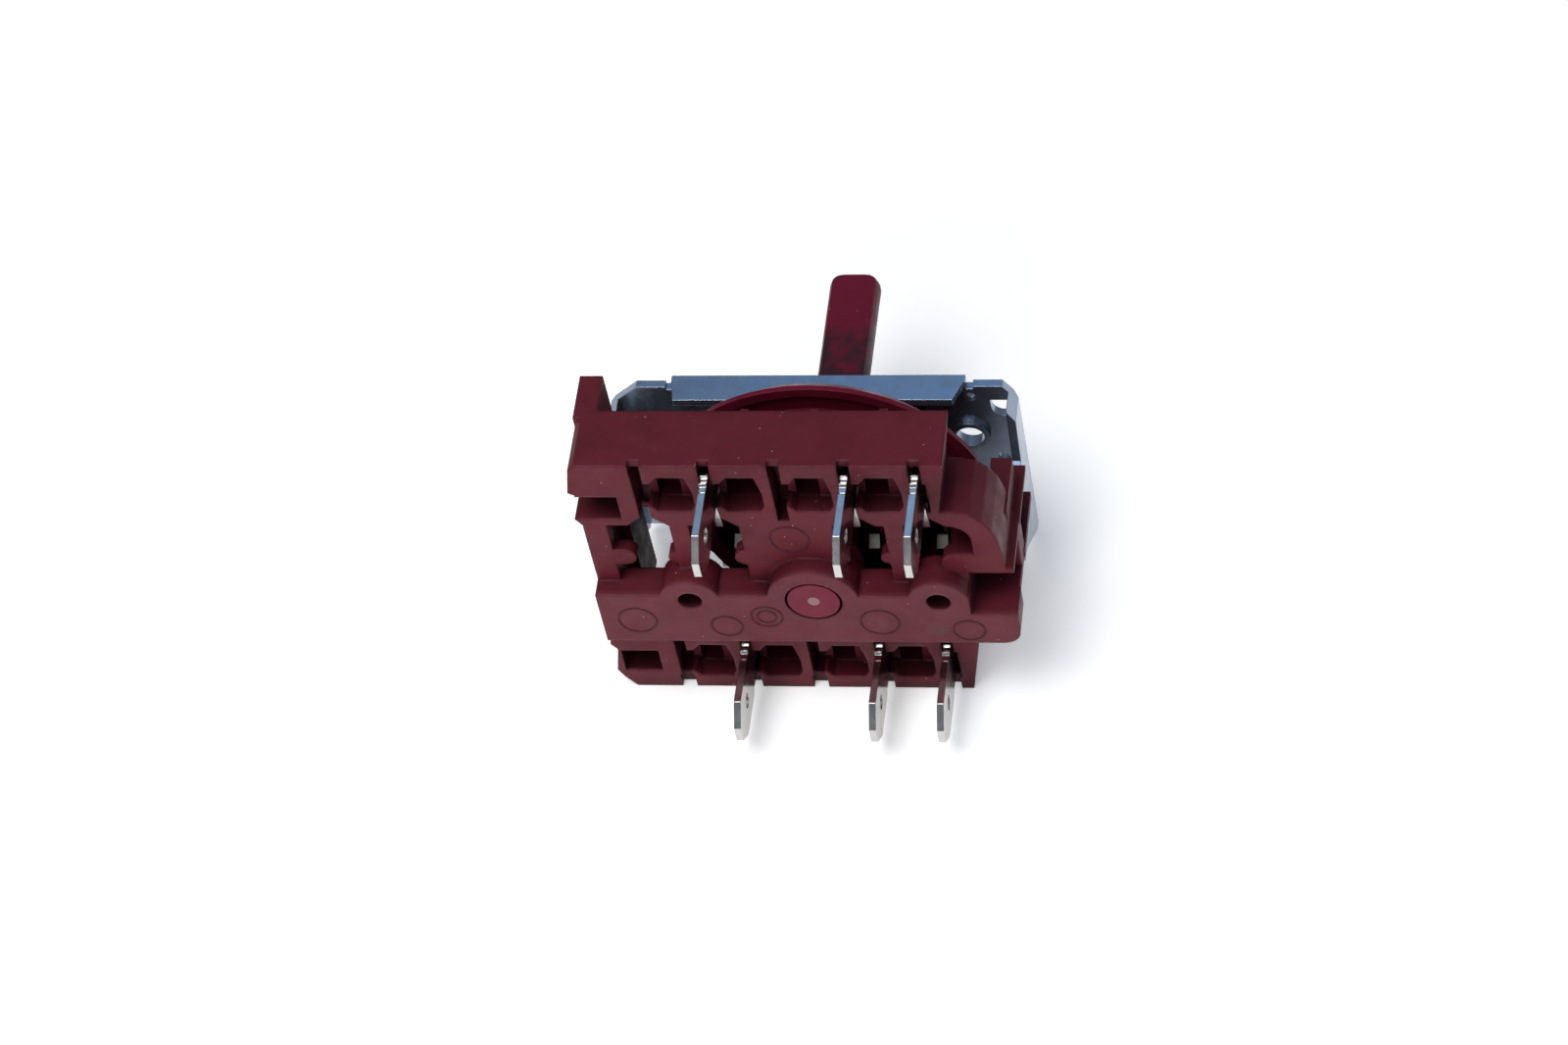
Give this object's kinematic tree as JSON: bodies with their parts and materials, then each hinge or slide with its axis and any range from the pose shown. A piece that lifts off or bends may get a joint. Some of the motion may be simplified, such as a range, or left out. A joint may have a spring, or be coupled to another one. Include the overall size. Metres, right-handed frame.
{
  "type": "rotary cam selector switch",
  "caption": "Rotary cam selector switch for a cooker or oven: moulded contact base with tab terminals, cam rotor with D spindle, folded steel bracket.",
  "frame": {"origin": "on the spindle's axis, in the front face of the mounting bracket", "axes": "+Y out of the bracket along the spindle, +X along the terminal rows, +Z towards the row that the picture shows at the top"},
  "size_m": [0.048, 0.0546, 0.0406],
  "materials": {
    "base_moulding": "satin moulded thermoset, maroon",
    "rotor_moulding": "satin moulded thermoset, crimson",
    "zinc_steel": "bright zinc plate",
    "tab_metal": "bright tin plate",
    "contact_strip": "rolled strip, silver grey",
    "silver": "silver",
    "rivet_brass": "plain",
    "spring_steel": "polished"
  },
  "bodies": {
    "base": {"contact_base": "base_moulding", "mounting_bracket": "zinc_steel", "detent_spring": "spring_steel", "upper_terminal_2": "tab_metal", "lower_terminal_2": "tab_metal", "fixed_contact_2": "silver", "spring_rivet_2": "rivet_brass", "upper_terminal_4": "tab_metal", "lower_terminal_4": "tab_metal", "fixed_contact_4": "silver", "spring_rivet_4": "rivet_brass", "upper_terminal_5": "tab_metal", "lower_terminal_5": "tab_metal", "fixed_contact_5": "silver", "spring_rivet_5": "rivet_brass"},
    "rotor": {"cam_rotor": "rotor_moulding"},
    "detent_follower": {"detent_roller": "spring_steel"},
    "contact_arm_2": {"contact_spring_2": "contact_strip", "moving_contact_2": "silver"},
    "contact_arm_4": {"contact_spring_4": "contact_strip", "moving_contact_4": "silver"},
    "contact_arm_5": {"contact_spring_5": "contact_strip", "moving_contact_5": "silver"}
  },
  "joints": [
    {"name": "rotor_turn", "type": "hinge", "parent": "base", "child": "rotor", "pos_m": [0, 0, 0], "axis": [0, 1, 0], "continuous": true},
    {"name": "detent_lift", "type": "slide", "parent": "base", "child": "detent_follower", "axis": [0, 0, -1], "range_m": [0, 0.0012], "stiffness_N_per_m": 6000, "deforming": ["detent_spring"]},
    {"name": "contact_close_2", "type": "hinge", "parent": "base", "child": "contact_arm_2", "pos_m": [-0.0096, -0.0164, -0.01415], "axis": [1, 0, 0], "range_deg": [0, 2], "stiffness_Nm_per_rad": 0.4, "deforming": ["contact_spring_2"]},
    {"name": "contact_close_4", "type": "hinge", "parent": "base", "child": "contact_arm_4", "pos_m": [0.00578, -0.0164, -0.01415], "axis": [1, 0, 0], "range_deg": [0, 2], "stiffness_Nm_per_rad": 0.4, "deforming": ["contact_spring_4"]},
    {"name": "contact_close_5", "type": "hinge", "parent": "base", "child": "contact_arm_5", "pos_m": [0.01347, -0.0164, -0.01415], "axis": [1, 0, 0], "range_deg": [0, 2], "stiffness_Nm_per_rad": 0.4, "deforming": ["contact_spring_5"]}
  ]
}
